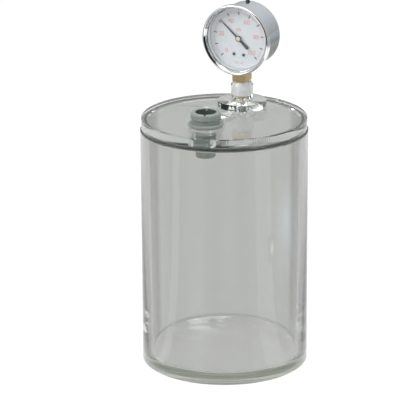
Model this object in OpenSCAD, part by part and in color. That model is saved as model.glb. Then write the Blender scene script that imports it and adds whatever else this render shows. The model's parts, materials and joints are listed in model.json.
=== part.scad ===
// Vacuum chamber: a clear acrylic vessel with a loose lid, a rubber valve
// stopper and a dial vacuum gauge. The gauge holds a full Bourdon movement:
// tube, link, toothed sector, pinion and hairspring.
// Millimetres, +Z up, origin at the centre of the underside. The gauge faces -Y.

/* [Chamber] */
// Outside diameter of the acrylic tube
tube_od = 160; // [140:1:220]
// Wall thickness of the tube
tube_wall = 8; // [6:0.5:12]
// Height of the tube
tube_h = 231; // [120:1:400]
// Thickness of the base disc bonded inside the tube
base_t = 10; // [6:0.5:20]
// Thickness of the glue lines round the base disc and under the gauge boss
bond_gap = 0.05; // [0.03:0.01:0.3]
// Chamfer on the polished rims of the tube
rim_chamfer = 0.4; // [0.1:0.1:1]

/* [Lid] */
// Thickness of the lid
lid_t = 10; // [8:0.5:20]
// How far the lid's edge stays inside the tube's outside
lid_inset = 1; // [0.5:0.1:2.5]
// Chamfer on the lid's top edge
lid_chamfer = 0.8; // [0.2:0.1:2]
// Depth of the locating step that drops into the tube
step_h = 3; // [2:0.5:6]
// Radial play of the locating step in the tube
step_play = 1.5; // [0.5:0.1:3]
// Distance of the gauge port and of the stopper hole from the tube's outside
port_in = 40; // [36:0.5:50]

/* [Gasket] */
// Radial width of the gasket ring
gasket_w = 2.2; // [1.5:0.1:3]
// Height of the gasket that stands proud of the lid
gasket_t = 2; // [1:0.1:4]
// Depth of the groove that holds the gasket
groove_d = 1; // [0.5:0.1:2]
// Distance from the tube's outside to the gasket's outside
gasket_inset = 4; // [3:0.1:4.6]
// Side play of the gasket in its groove
gasket_play = 0.1; // [0.05:0.05:0.3]

/* [Stopper] */
// Radius of the stopper's plug where it passes the lid
plug_r = 10.5; // [8:0.1:12]
// Radial play of the plug in the lid's hole
plug_play = 0.3; // [0.1:0.05:0.6]
// Radius of the plug's lower end
plug_end_r = 9.2; // [7:0.1:10]
// Length of the plug below the lid's underside
plug_below = 18; // [10:0.5:24]
// Radius of the flange that rests on the lid
flange_r = 16.9; // [15:0.1:20]
// Thickness of the flange
flange_t = 4.4; // [3:0.1:6]
// Radius of the waist between flange and lip
waist_r = 12.6; // [11.5:0.1:14]
// Height of the waist
waist_h = 3.8; // [2:0.1:6]
// Radius of the upper lip
lip_r = 14.3; // [13:0.1:16]
// Height of the upper lip
lip_h = 6.5; // [5.8:0.1:9]
// Radius of the cup in the lip
cup_r = 10; // [7:0.1:11]
// Depth of the cup
cup_d = 6; // [5.5:0.1:9]
// Width of the slit valve's ridge in the cup
ridge_w = 2.4; // [1.6:0.1:4]
// Width of the two notches in the lip
notch_w = 1.6; // [1:0.1:3]
// Turn of the slit valve from the Y axis, in degrees
slit_turn = 21; // [0:1:90]

/* [Gauge boss] */
// Radius of the boss's flange
boss_flange_r = 23.4; // [20:0.1:28]
// Thickness of the boss's flange
boss_flange_t = 6; // [4:0.1:10]
// Radius of the boss's neck at its top
boss_neck_r = 10.9; // [10:0.1:14]
// How much smaller the neck is at the flange
boss_taper = 0.9; // [0:0.1:1.5]
// Height of the boss above the lid
boss_h = 24.2; // [18:0.1:36]
// Height of the neck's top chamfer
boss_chamfer_h = 3; // [1:0.1:4]
// Width of the neck's top chamfer
boss_chamfer_w = 2; // [1:0.1:2.4]
// Radius of the air passage below the gauge
port_r = 4; // [2:0.1:5.5]

/* [Gauge socket] */
// Radius of the threaded shank
shank_r = 6.3; // [5.5:0.1:6.6]
// Length of the threaded shank
shank_l = 17.5; // [12:0.5:22]
// Radial thickness of the sealing tape on the thread
tape_t = 0.4; // [0.2:0.05:0.6]
// Play on each side of the tape
tape_play = 0.03; // [0.01:0.01:0.1]
// Length of bare shank below the tape
shank_bare = 3; // [1:0.1:6]
// Gap between the boss's top and the square
square_gap = 1.2; // [0.5:0.1:3]
// Width across the flats of the square
square_w = 14; // [13.4:0.1:17]
// Height of the square from its underside to the case
square_h = 11.4; // [6:0.1:30]
// Radius of the pressure bore
bore_r = 1.5; // [0.8:0.1:2]
// Width of the block inside the case
block_w = 14; // [12:0.5:18]
// Height of the block's top below the gauge centre
block_top = 19; // [17.5:0.5:20]

/* [Gauge case] */
// Radius of the case
case_r = 31.3; // [30:0.1:34]
// Sheet thickness of the case
case_wall = 1; // [0.6:0.1:1.4]
// Depth of the case behind the dial
case_back = 27; // [16:0.1:30]
// Radius of the case's rounded back edge
case_round = 2.8; // [1:0.1:4]
// Width of the case's front flange
case_flange_w = 1.7; // [1:0.1:2.5]
// Thickness of the case's front flange
case_flange_t = 1; // [0.6:0.1:1.6]
// Distance of the stem's axis behind the dial's face
stem_behind = 6.3; // [6:0.1:9]
// Distance of the bezel's crest ahead of the dial
bezel_front = 10.8; // [9:0.1:13]
// Distance of the window's face ahead of the dial
window_ahead = 7.4; // [6.4:0.1:8]
// Sheet thickness of the bezel
bezel_wall = 1.1; // [0.8:0.1:1.6]
// Depth of the bezel's crimp behind the case's flange
crimp_t = 0.7; // [0.4:0.1:1.2]
// Play between bezel and flange
bezel_play = 0.1; // [0.05:0.05:0.3]
// How far the bezel's lip covers the window
bezel_cover = 2.6; // [1.6:0.1:3]
// Thickness of the window
window_t = 2; // [1:0.1:3]
// Thickness of the gasket behind the window
window_gasket_t = 0.8; // [0.5:0.1:1.5]

/* [Dial and pointer] */
// Thickness of the dial
dial_t = 0.8; // [0.4:0.1:1]
// Play between dial and case
dial_play = 0.4; // [0.1:0.05:1]
// Distance of the pointer's face ahead of the dial
pointer_ahead = 1.5; // [1.3:0.1:4.5]
// Thickness of the pointer
pointer_t = 0.4; // [0.3:0.05:0.8]
// Length of the pointer from the hub to its tip
pointer_l = 25.6; // [18:0.1:27]
// Length of the pointer's tail
tail_l = 13.6; // [8:0.1:18]
// Width of the pointer's tail at its end
tail_w = 3.4; // [2:0.1:4]
// Radius of the pointer hub's cap
hub_r = 2.3; // [2:0.1:3.5]
// Scale division that the pointer shows, of ten
reading = 3.2; // [0:0.1:10]
// Half spacing of the two dial screws
dial_screw_x = 5; // [3.5:0.1:6]
// Distance of the dial screws below the gauge centre
dial_screw_z = 15.8; // [14:0.1:16.5]

/* [Movement] */
// Gear module of sector and pinion
gear_m = 0.25; // [0.2:0.01:0.27]
// Teeth of the pinion
pinion_teeth = 12; // [10:1:14]
// Teeth of the full wheel that the sector is cut from
sector_wheel = 96; // [90:2:104]
// Direction from the pinion to the sector's pivot, in degrees
sector_dir = 231; // [225:1:237]
// Length of the sector's tail from pivot to pin
sector_tail = 8; // [7:0.1:8.6]
// Direction of the sector's tail, in degrees
tail_dir = 150; // [145:1:156]
// Thickness of the movement's plates
plate_t = 1.2; // [0.8:0.1:1.6]
// Gap between dial and front plate
plate_behind = 1.2; // [0.8:0.1:1.4]
// Distance between the two plates
plate_gap = 6.6; // [6.2:0.1:7.4]
// Radial running clearance of the pivots
pivot_play = 0.05; // [0.02:0.01:0.1]
// Turns of the hairspring
spring_turns = 4; // [3:1:5]
// Mean radius of the Bourdon tube
bourdon_r = 23; // [22.4:0.1:24]
// Angle of the Bourdon tube's free end, in degrees
bourdon_end = 213; // [208:1:216]

/* [Hidden] */

// Chamber and lid
tube_r = tube_od / 2;
port_pitch = tube_r - port_in;
bore_wall_r = tube_r - tube_wall;
lid_z = tube_h + gasket_t;
lid_top = lid_z + lid_t;
lid_r = tube_r - lid_inset;
gasket_ro = tube_r - gasket_inset;
gasket_ri = gasket_ro - gasket_w;
plug_hole_r = plug_r + plug_play;

// Gauge frame: local Y is depth behind the dial's face
square_bottom = -case_r - square_h;
gauge_z = lid_top + boss_h + square_gap - square_bottom;
dial_y = port_pitch - stem_behind;
neck_r = 5;
neck_play = 0.1;
block_play = 0.05;
sheet_play = 0.05;
case_ri = case_r - case_wall;
flange_out = case_r + case_flange_w;
skirt_ri = flange_out + bezel_play;
bezel_r = skirt_ri + bezel_wall;
window_y = -window_ahead;
rim_y = window_y + window_t + window_gasket_t;
bezel_back = rim_y + case_flange_t + sheet_play + crimp_t;
plug_y = 19.5;
plug_hole = 1.6;
plug_slack = 0.05;
dimple_y = 12.7;
dimple_a = -7;
dimple_r = 1.6;
dimple_d = 0.5;

// Movement levels
end_play = 0.1;
plate_y = dial_t + plate_behind;
zone_y = plate_y + plate_t;
zone_end = zone_y + plate_gap;
sector_y = zone_y + 1;
sector_t = 1.2;
link_y = sector_y + sector_t + end_play;
link_t = 0.8;
spring_y = zone_y + 4.1;
spring_w = 0.6;
post_r = 1.6;
screw_r = 0.75;
screw_play = 0.05;
thread_play = 0.02;
pivot_short = 0.2;

// Movement plan, seen from the front
pinion_r = gear_m * pinion_teeth / 2;
sector_r = gear_m * sector_wheel / 2;
centre_d = pinion_r + sector_r;
pivot = centre_d * [cos(sector_dir), sin(sector_dir)];
pin_at = pivot + sector_tail * [cos(tail_dir), sin(tail_dir)];
tooth_a = 360 / sector_wheel;
teeth_before = 8;
teeth_after = 4;
tooth_fill = 0.84;
pressure_a = 20;
dial_hole_r = 2.2;
arbor_r = 0.75;
arbor_step = 0.15;
press_play = 0.01;
pivot_r = 0.5;
collet_r = 1.25;
collet_side = 0.2;
pointer_bore = 1.5;
spring_t = 0.12;
spring_step = 0.95;
spring_in_r = collet_r + 0.1;
spring_end_r = spring_in_r + spring_turns * spring_step;
stud_r = 0.5;
stud_play = 0.03;
pillar_r = 1.3;
pillar_x = 7.4;
pillar_z = 6.4;
plate_screw_x = 4;
plate_screw_z = -21.5;
screw_in = 2.6;
screw_hole = 3;
plate_edge = 2.5;
plate_low = plate_screw_z - plate_edge;
plate_up = 9;
plate_right = 10;
plate_left = 12.2;
plate_cut = 1;
plate_side = 4;
plate_waist = 9;
plate_hip = 2;
plate_shoulder = 6;
plate_heel = 13.5;
link_eye = 1.5;
link_pin_r = 0.45;
scale_start = 225;
scale_step = 27;
pointer_a = scale_start - scale_step * reading;

// Bourdon tube
bourdon_w = 5.4;
bourdon_d = 2.6;
bourdon_wall = 0.4;
bourdon_start = -76;
bourdon_in_block = 20;
bourdon_play = 0.05;
cross_r = 0.8;
cross_z = bourdon_r * sin(bourdon_start);
bore_top = cross_z + bore_r;
tip_len = 4;
tip_stud_r = 0.5;
tip_in = 3;
end_dir = [cos(bourdon_end), sin(bourdon_end)];
end_run = [-sin(bourdon_end), cos(bourdon_end)];
tip_at = (bourdon_r - tip_in) * end_dir + tip_len / 2 * end_run;

$fn = 96;

// ---- helpers ----

// Ring round Z between two radii
module ring(ro, ri, h) {
    difference() {
        cylinder(r = ro, h = h);
        translate([0, 0, -1]) cylinder(r = ri, h = h + 2);
    }
}

// Moves children to the gauge's frame
module at_gauge() {
    translate([0, dial_y, gauge_z]) children();
}

// Turns a shape that stands on Z so that its Z runs back along Y from level y
module back_from(y) {
    translate([0, y, 0]) rotate([-90, 0, 0]) children();
}

// Slab of a front-view outline between two depths
module slab(y0, y1) {
    translate([0, y1, 0]) rotate([90, 0, 0]) linear_extrude(y1 - y0) children();
}

// Round rod along Y between two depths, at a place in the front view
module rod(at, r, y0, y1, fn = 32) {
    translate([at[0], y0, at[1]]) rotate([-90, 0, 0]) cylinder(r = r, h = y1 - y0, $fn = fn);
}

// Involute function, in degrees
function inv_deg(a) = tan(a) * 180 / PI - a;

// Half angle of a tooth at radius r
function half_tooth(r, rp, n) =
    let (rb = rp * cos(pressure_a), a = r > rb ? acos(rb / r) : 0)
    90 / n * tooth_fill + inv_deg(pressure_a) - inv_deg(a);

// Outline points of one tooth centred on angle c
function tooth(c, rp, n, root, tip) =
    let (rb = rp * cos(pressure_a), low = max(root, rb), levels = 4)
    concat(
        [let (h = half_tooth(low, rp, n)) root * [cos(c - h), sin(c - h)]],
        [for (i = [0:levels]) let (r = low + (tip - low) * i / levels, h = half_tooth(r, rp, n))
            r * [cos(c - h), sin(c - h)]],
        [for (i = [levels:-1:0]) let (r = low + (tip - low) * i / levels, h = half_tooth(r, rp, n))
            r * [cos(c + h), sin(c + h)]],
        [let (h = half_tooth(low, rp, n)) root * [cos(c + h), sin(c + h)]]
    );

// Points of an arc round a centre
function arc(c, r, from, to, steps = 5) =
    [for (i = [0:steps]) let (a = from + (to - from) * i / steps) c + r * [cos(a), sin(a)]];

// ---- chamber ----

module chamber_tube() {
    color([0.78, 0.82, 0.80, 0.35])
    rotate_extrude($fn = 192)
        polygon([[bore_wall_r + rim_chamfer, 0], [tube_r - rim_chamfer, 0],
            [tube_r, rim_chamfer], [tube_r, tube_h - rim_chamfer],
            [tube_r - rim_chamfer, tube_h], [bore_wall_r + rim_chamfer, tube_h],
            [bore_wall_r, tube_h - rim_chamfer], [bore_wall_r, rim_chamfer]]);
}

module base_plate() {
    color([0.70, 0.76, 0.72, 0.45])
    cylinder(r = bore_wall_r - bond_gap, h = base_t, $fn = 192);
}

module lid_plate() {
    step_r = bore_wall_r - step_play;
    color([0.78, 0.82, 0.80, 0.35])
    translate([0, 0, lid_z])
    difference() {
        union() {
            cylinder(r = lid_r, h = lid_t - lid_chamfer, $fn = 192);
            translate([0, 0, lid_t - lid_chamfer])
                cylinder(r1 = lid_r, r2 = lid_r - lid_chamfer, h = lid_chamfer, $fn = 192);
            translate([0, 0, -step_h]) cylinder(r = step_r, h = step_h + 1, $fn = 192);
        }
        translate([0, 0, -groove_d])
            ring(gasket_ro + gasket_play, gasket_ri - gasket_play, 2 * groove_d, $fn = 192);
        translate([0, -port_pitch, -step_h - 1])
            cylinder(r = plug_hole_r, h = lid_t + step_h + 2);
        translate([0, port_pitch, -step_h - 1]) cylinder(r = port_r, h = lid_t + step_h + 2);
    }
}

module lid_gasket() {
    color([0.06, 0.06, 0.06])
    translate([0, 0, tube_h]) ring(gasket_ro, gasket_ri, gasket_t + groove_d, $fn = 192);
}

// ---- stopper ----

module valve_stopper() {
    low = -lid_t - plug_below;
    lip_z = flange_t + waist_h;
    top = lip_z + lip_h;
    edge = 0.8;
    round = 0.3;
    relief = 0.25;
    swell_low = 4;
    swell_mid = 2.4;
    swell_top = 3;
    seat_w = 1.2;
    seat_h = 1.2;
    cup_taper = 0.8;
    core_r = plug_end_r - 3;
    core_h = plug_below - 3;
    notch_h = 1.6;
    color([0.42, 0.47, 0.45])
    translate([0, -port_pitch, lid_top])
    difference() {
        rotate_extrude()
            polygon([[0, low], [plug_end_r - edge, low], [plug_end_r, low + edge],
                [plug_r - edge, -lid_t - swell_low], [plug_r, -lid_t - swell_mid],
                [plug_r, -lid_t + swell_top], [plug_r - relief, -lid_t + swell_top + 1],
                [plug_r - relief, -2], [plug_r, 0],
                [plug_hole_r + seat_w, 0], [flange_r - edge, seat_h], [flange_r, seat_h + 1],
                [flange_r - round, flange_t - 2 * round], [flange_r - edge - round, flange_t],
                [waist_r, flange_t + round], [waist_r, lip_z - round], [lip_r - 2 * round, lip_z],
                [lip_r, lip_z + 1], [lip_r, top - 1.4], [lip_r - 0.5, top - 0.5],
                [lip_r - 1.4, top], [0, top]]);
        translate([0, 0, top - cup_d])
            cylinder(r1 = cup_r - cup_taper, r2 = cup_r, h = cup_d + 0.01);
        rotate([0, 0, slit_turn])
            translate([-notch_w / 2, -lip_r - 1, top - notch_h])
            cube([notch_w, 2 * lip_r + 2, notch_h + 1]);
        translate([0, 0, low - 1]) cylinder(r = core_r, h = core_h + 1);
    }
    // Closed lips of the slit valve on the cup's floor
    ridge_in = 3;
    ridge_l = 2 * cup_r - 2 * ridge_in;
    ridge_h = 1;
    slit_w = 0.2;
    slit_l = ridge_l - ridge_in;
    color([0.36, 0.41, 0.39])
    translate([0, -port_pitch, lid_top + top - cup_d])
    rotate([0, 0, slit_turn])
    difference() {
        translate([-ridge_w / 2, -ridge_l / 2, -0.5]) cube([ridge_w, ridge_l, ridge_h + 0.5]);
        translate([-slit_w / 2, -slit_l / 2, 0.2]) cube([slit_w, slit_l, ridge_h + 1]);
    }
}

// ---- gauge boss and socket ----

module gauge_boss() {
    foot_r = boss_neck_r - boss_taper;
    bore = shank_r + tape_t + 2 * tape_play;
    bore_low = boss_h + square_gap - shank_l - 1;
    drill_tip = (bore - port_r) * 0.6;
    edge = 0.3;
    color([0.85, 0.87, 0.87, 0.35])
    translate([0, port_pitch, lid_top])
    rotate_extrude()
        polygon([[port_r, bond_gap], [boss_flange_r, bond_gap],
            [boss_flange_r, boss_flange_t - edge],
            [boss_flange_r - edge, boss_flange_t], [foot_r, boss_flange_t],
            [boss_neck_r, boss_h - boss_chamfer_h], [boss_neck_r - boss_chamfer_w, boss_h],
            [bore, boss_h], [bore, bore_low], [port_r, bore_low - drill_tip]]);
}

module thread_tape() {
    ri = shank_r + tape_play;
    h = shank_l - shank_bare;
    color([0.93, 0.93, 0.91])
    translate([0, port_pitch, lid_top + boss_h + square_gap - h])
    ring(ri + tape_t, ri, h - tape_play);
}

// Flat oval section of the Bourdon tube at its mean radius
module bourdon_section(grow = 0) {
    half = bourdon_w / 2 - bourdon_d / 2;
    translate([bourdon_r - bourdon_d / 2 - grow, -half]) square([bourdon_d + 2 * grow, 2 * half]);
    for (s = [-1, 1])
        translate([bourdon_r, s * half]) circle(r = bourdon_d / 2 + grow, $fn = 24);
}

// Sweep round the gauge's axis of a section drawn at its radius
module round_axis(from, to) {
    translate([0, stem_behind, 0])
    rotate([90, 0, 0]) rotate([0, 0, from])
    rotate_extrude(angle = to - from, $fn = 96) children();
}

module gauge_socket() {
    shank_bottom = square_bottom - shank_l;
    edge = 0.8;
    color([0.78, 0.62, 0.34])
    at_gauge()
    difference() {
        union() {
            translate([0, stem_behind, shank_bottom])
                cylinder(r1 = shank_r - edge, r2 = shank_r, h = edge, $fn = 48);
            translate([0, stem_behind, shank_bottom + edge])
                cylinder(r = shank_r, h = shank_l - edge, $fn = 48);
            translate([-square_w / 2, stem_behind - square_w / 2, square_bottom])
                cube([square_w, square_w, -case_r - square_bottom]);
            translate([0, stem_behind, -case_r - 0.5])
                cylinder(r = neck_r, h = case_wall + 4, $fn = 48);
            intersection() {
                translate([-block_w / 2, zone_y, -case_r])
                    cube([block_w, plate_gap, case_r - block_top]);
                back_from(0) cylinder(r = case_ri - block_play, h = zone_end + 1, $fn = 192);
            }
        }
        translate([0, stem_behind, shank_bottom - 1])
            cylinder(r = bore_r, h = bore_top - shank_bottom + 1, $fn = 32);
        round_axis(bourdon_start, bourdon_start + bourdon_in_block) bourdon_section(bourdon_play);
        translate([0, stem_behind, cross_z]) rotate([0, 90, 0])
            cylinder(r = cross_r, h = bourdon_r * cos(bourdon_start), $fn = 24);
        for (s = [-1, 1])
            rod([s * plate_screw_x, plate_screw_z], screw_r + screw_play, zone_end - screw_hole,
                zone_end + 1);
    }
}

// ---- gauge case ----

module gauge_case() {
    inside = max(case_round - case_wall, 0.2);
    color([0.80, 0.81, 0.83])
    at_gauge()
    difference() {
        back_from(0) rotate_extrude($fn = 192)
            polygon(concat([[0, case_back - case_wall]],
                arc([case_ri - inside, case_back - case_wall - inside], inside, 90, 0),
                [[case_ri, rim_y], [flange_out, rim_y], [flange_out, rim_y + case_flange_t],
                    [case_r, rim_y + case_flange_t]],
                arc([case_r - case_round, case_back - case_round], case_round, 0, 90),
                [[0, case_back]]));
        translate([0, stem_behind, -case_r - 2])
            cylinder(r = neck_r + neck_play, h = case_wall + 4, $fn = 48);
        translate([0, plug_y, case_ri - 1]) cylinder(r = plug_hole, h = 3, $fn = 32);
        rotate([0, -dimple_a, 0]) translate([case_r + dimple_r - dimple_d, dimple_y, 0])
            sphere(r = dimple_r, $fn = 32);
    }
}

module vent_plug() {
    head = 2.4;
    head_h = 2.2;
    taper = 0.8;
    seat = 0.02;
    lip = 0.8;
    lift = case_r - sqrt(case_r * case_r - head * head);
    color([0.08, 0.08, 0.09])
    at_gauge() translate([0, plug_y, 0]) {
        difference() {
            translate([0, 0, case_r - lift])
                cylinder(r1 = head, r2 = head - taper, h = head_h, $fn = 48);
            translate([0, -2 * head, 0]) rotate([-90, 0, 0])
                cylinder(r = case_r + seat, h = 4 * head, $fn = 192);
        }
        translate([0, 0, case_ri - lip])
            cylinder(r = plug_hole - plug_slack, h = case_wall + 2 * lip, $fn = 32);
    }
}

module bezel_ring() {
    front = -bezel_front;
    lip_r = skirt_ri - bezel_cover;
    lip_t = 0.5;
    roll = 1.2;
    roll_turn = 130;
    crimp_in = 1.1;
    crimp_r = flange_out - crimp_in;
    edge = 0.4;
    color([0.86, 0.87, 0.89])
    at_gauge() back_from(0) rotate_extrude($fn = 192)
        polygon(concat([[lip_r, window_y], [lip_r, window_y - lip_t]],
            arc([bezel_r - roll, front + roll], roll, -roll_turn, 0),
            [[bezel_r, bezel_back - edge], [bezel_r - edge, bezel_back],
                [crimp_r, bezel_back], [crimp_r, bezel_back - crimp_t],
                [skirt_ri, bezel_back - crimp_t], [skirt_ri, window_y]]));
}

module window() {
    color([0.9, 0.95, 0.95, 0.3])
    at_gauge() back_from(window_y) cylinder(r = flange_out, h = window_t, $fn = 192);
}

module window_gasket() {
    color([0.12, 0.12, 0.12])
    at_gauge() back_from(window_y + window_t)
        ring(flange_out, case_ri, window_gasket_t, $fn = 192);
}

// ---- dial and pointer ----

module dial_plate() {
    color([0.96, 0.96, 0.95])
    at_gauge() difference() {
        back_from(0) cylinder(r = case_ri - dial_play, h = dial_t, $fn = 192);
        rod([0, 0], dial_hole_r, -1, dial_t + 1);
        for (s = [-1, 1])
            rod([s * dial_screw_x, -dial_screw_z], screw_r + screw_play, -1, dial_t + 1);
    }
}

module dial_screws() {
    head = 1.4;
    head_h = 0.8;
    slot_w = 0.4;
    slot_d = 0.35;
    slot_turn = 40;
    color([0.20, 0.20, 0.20])
    at_gauge() for (s = [-1, 1]) difference() {
        union() {
            rod([s * dial_screw_x, -dial_screw_z], head, -head_h, 0);
            rod([s * dial_screw_x, -dial_screw_z], screw_r, -head_h / 2, zone_y);
        }
        translate([s * dial_screw_x, -head_h, -dial_screw_z]) rotate([0, slot_turn * s, 0])
            cube([3 * head, 2 * slot_d, slot_w], center = true);
    }
}

module pointer() {
    root_w = 1.6;
    shoulder = pointer_l / 4;
    half_tip = 0.28;
    boss = 0.7;
    color([0.07, 0.07, 0.08])
    at_gauge() rotate([0, -pointer_a, 0]) difference() {
        slab(-pointer_ahead, pointer_t - pointer_ahead) union() {
            polygon([[0, -root_w / 2], [shoulder, -root_w / 2], [pointer_l - 1, -half_tip],
                [pointer_l, 0], [pointer_l - 1, half_tip], [shoulder, root_w / 2],
                [0, root_w / 2]]);
            circle(r = hub_r + boss, $fn = 48);
            polygon([[0, -root_w / 2], [0, root_w / 2], [-tail_l + tail_w / 2, tail_w / 2],
                [-tail_l + tail_w / 2, -tail_w / 2]]);
            translate([-tail_l + tail_w / 2, 0]) circle(r = tail_w / 2, $fn = 32);
        }
        rod([0, 0], pointer_bore, -pointer_ahead - 1, 1);
    }
}

module pointer_hub() {
    face = -pointer_ahead;
    cap = 0.9;
    tail = face + 1.8;
    neck = pointer_bore - 2 * press_play;
    bore_end = 0.25;
    color([0.80, 0.66, 0.42])
    at_gauge() back_from(0) rotate_extrude($fn = 48)
        polygon([[0, face - cap], [hub_r - 0.5, face - cap], [hub_r, face - cap + 0.5],
            [hub_r, face - press_play], [neck, face - press_play], [neck, tail],
            [arbor_r + press_play, tail], [arbor_r + press_play, face - bore_end],
            [0, face - bore_end]]);
}

module pinion_arbor() {
    root = pinion_r - 1.3 * gear_m;
    tip = pinion_r + gear_m;
    wider = 0.3;
    pitch_a = 360 / pinion_teeth;
    color([0.72, 0.60, 0.36])
    at_gauge() {
        slab(sector_y - wider, sector_y + sector_t + wider)
            polygon([for (i = [0:pinion_teeth - 1])
                each tooth(sector_dir + (i + 0.5) * pitch_a, pinion_r, pinion_teeth, root, tip)]);
        rod([0, 0], arbor_r, -pointer_ahead - pivot_short, zone_end - end_play);
        rod([0, 0], pivot_r, zone_end - 0.5, zone_end + plate_t - pivot_short);
        rod([0, 0], collet_r, spring_y - collet_side, spring_y + spring_w + collet_side);
    }
}

module hairspring() {
    steps = 24;
    n = spring_turns * steps;
    color([0.75, 0.66, 0.45])
    at_gauge() slab(spring_y, spring_y + spring_w)
        polygon(concat(
            [for (i = [0:n]) let (a = 360 * i / steps, r = spring_in_r + spring_step * i / steps)
                r * [cos(a), sin(a)]],
            [for (i = [n:-1:0])
                let (a = 360 * i / steps, r = spring_in_r + spring_t + spring_step * i / steps)
                r * [cos(a), sin(a)]]
        ));
}

module spring_stud() {
    at = [spring_end_r + spring_t + stud_r + stud_play, 0];
    color([0.72, 0.60, 0.36])
    at_gauge() rod(at, stud_r, spring_y - collet_side, zone_end);
}

// ---- movement ----

// Outline of a movement plate, seen from the front
module plate_outline() {
    foot = block_w / 2;
    polygon([[-plate_right, plate_up], [plate_right - plate_cut, plate_up],
        [plate_right, plate_up - plate_cut], [plate_right, -plate_side],
        [foot, -plate_waist], [foot, plate_low], [-foot, plate_low],
        [-foot, -plate_heel - plate_hip], [-plate_left, -plate_heel],
        [-plate_left, -plate_shoulder], [-plate_right, -plate_hip]]);
}

module front_plate() {
    color([0.76, 0.63, 0.38])
    at_gauge() difference() {
        union() {
            slab(plate_y, zone_y) plate_outline();
            for (s = [-1, 1]) rod([s * dial_screw_x, -dial_screw_z], post_r, dial_t, zone_y);
        }
        rod([0, 0], arbor_r + pivot_play, plate_y - 1, zone_y + 1);
        rod(pivot, pivot_r + pivot_play, plate_y - 1, zone_y + 1);
        for (s = [-1, 1])
            rod([s * dial_screw_x, -dial_screw_z], screw_r + thread_play, 0, zone_y + 1);
    }
}

module back_plate() {
    color([0.76, 0.63, 0.38])
    at_gauge() difference() {
        slab(zone_end, zone_end + plate_t) plate_outline();
        rod([0, 0], pivot_r + pivot_play, zone_end - 1, zone_end + plate_t + 1);
        rod(pivot, pivot_r + pivot_play, zone_end - 1, zone_end + plate_t + 1);
        for (s = [-1, 1])
            rod([s * plate_screw_x, plate_screw_z], screw_r + screw_play, zone_end - 1,
                zone_end + plate_t + 1);
    }
}

module pillars() {
    color([0.74, 0.61, 0.37])
    at_gauge() for (s = [-1, 1]) rod([s * pillar_x, pillar_z], pillar_r, zone_y, zone_end);
}

module movement_screws() {
    head = 1.5;
    head_h = 1.1;
    slot_w = 0.4;
    slot_d = 0.5;
    slot_turn = 25;
    face = zone_end + plate_t;
    color([0.70, 0.71, 0.72])
    at_gauge() for (s = [-1, 1]) difference() {
        union() {
            rod([s * plate_screw_x, plate_screw_z], head, face, face + head_h);
            rod([s * plate_screw_x, plate_screw_z], screw_r, zone_end - screw_in, face + head_h / 2);
        }
        translate([s * plate_screw_x, face + head_h, plate_screw_z]) rotate([0, slot_turn * s, 0])
            cube([3 * head, 2 * slot_d, slot_w], center = true);
    }
}

module sector_gear() {
    root = sector_r - 1.3 * gear_m;
    tip = sector_r + 0.8 * gear_m;
    rim = 1.8;
    hub = 2.2;
    arm = 1.8;
    arm_in = 4;
    steps = 12;
    toward = sector_dir - 180;
    first = toward - (teeth_before + 0.5) * tooth_a;
    last = toward + (teeth_after + 0.5) * tooth_a;
    color([0.80, 0.67, 0.40])
    at_gauge() translate([pivot[0], 0, pivot[1]])
    slab(sector_y, sector_y + sector_t) difference() {
        union() {
            polygon(concat(
                [for (k = [-teeth_before:teeth_after])
                    each tooth(toward + k * tooth_a, sector_r, sector_wheel, root, tip)],
                [for (i = [0:steps]) let (a = last + (first - last) * i / steps)
                    (root - rim) * [cos(a), sin(a)]]
            ));
            for (a = [first + arm_in, last - arm_in])
                rotate(a) translate([0, -arm / 2]) square([root - rim / 2, arm]);
            rotate(tail_dir) translate([0, -arm / 2]) square([sector_tail, arm]);
            circle(r = hub, $fn = 48);
            translate(pin_at - pivot) circle(r = link_eye, $fn = 32);
        }
        circle(r = arbor_r + arbor_step + press_play, $fn = 32);
        translate(pin_at - pivot) circle(r = link_pin_r + press_play, $fn = 32);
    }
}

module sector_arbor() {
    color([0.72, 0.60, 0.36])
    at_gauge() {
        rod(pivot, arbor_r + arbor_step, zone_y + end_play, zone_end - end_play);
        rod(pivot, pivot_r, plate_y + pivot_short, zone_end + plate_t - pivot_short);
    }
}

module link() {
    run = tip_at - pin_at;
    bar_w = 1.6;
    open_play = 0.15;
    color([0.70, 0.71, 0.72])
    at_gauge() difference() {
        union() {
            rod(pin_at, link_eye, link_y, link_y + link_t);
            rod(tip_at, link_eye, link_y, link_y + link_t);
            translate([pin_at[0], 0, pin_at[1]]) rotate([0, -atan2(run[1], run[0]), 0])
                slab(link_y, link_y + link_t) translate([0, -bar_w / 2]) square([norm(run), bar_w]);
        }
        rod(pin_at, link_pin_r + pivot_play, link_y - 1, link_y + link_t + 1);
        rod(tip_at, tip_stud_r + open_play, link_y - 1, link_y + link_t + 1);
    }
}

module link_pin() {
    head = 0.9;
    head_h = 0.5;
    face = link_y + link_t + end_play;
    color([0.66, 0.67, 0.68])
    at_gauge() {
        rod(pin_at, link_pin_r, sector_y - end_play, face + head_h / 2);
        rod(pin_at, head, face, face + head_h);
    }
}

module bourdon_tube() {
    color([0.72, 0.56, 0.34])
    at_gauge() round_axis(bourdon_start, bourdon_end) difference() {
        bourdon_section();
        bourdon_section(-bourdon_wall);
    }
}

module tube_tip() {
    inner = bourdon_r - bourdon_d / 2;
    arm_end = 0.7;
    eye_in = bourdon_r - tip_in - tip_stud_r - arm_end;
    arm_t = 2;
    arm_edge = 0.6;
    stud_out = 0.3;
    face = link_y + link_t + end_play;
    color([0.76, 0.62, 0.36])
    at_gauge() {
        rotate([0, -bourdon_end, 0])
            translate([inner, stem_behind - bourdon_w / 2, 0])
            cube([bourdon_d, bourdon_w, tip_len]);
        rotate([0, -bourdon_end, 0])
            translate([eye_in, face, arm_edge])
            cube([inner - eye_in + arm_edge, arm_t, tip_len - 2 * arm_edge]);
        rod(tip_at, tip_stud_r, link_y - stud_out, face + arm_t / 2);
    }
}

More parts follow.
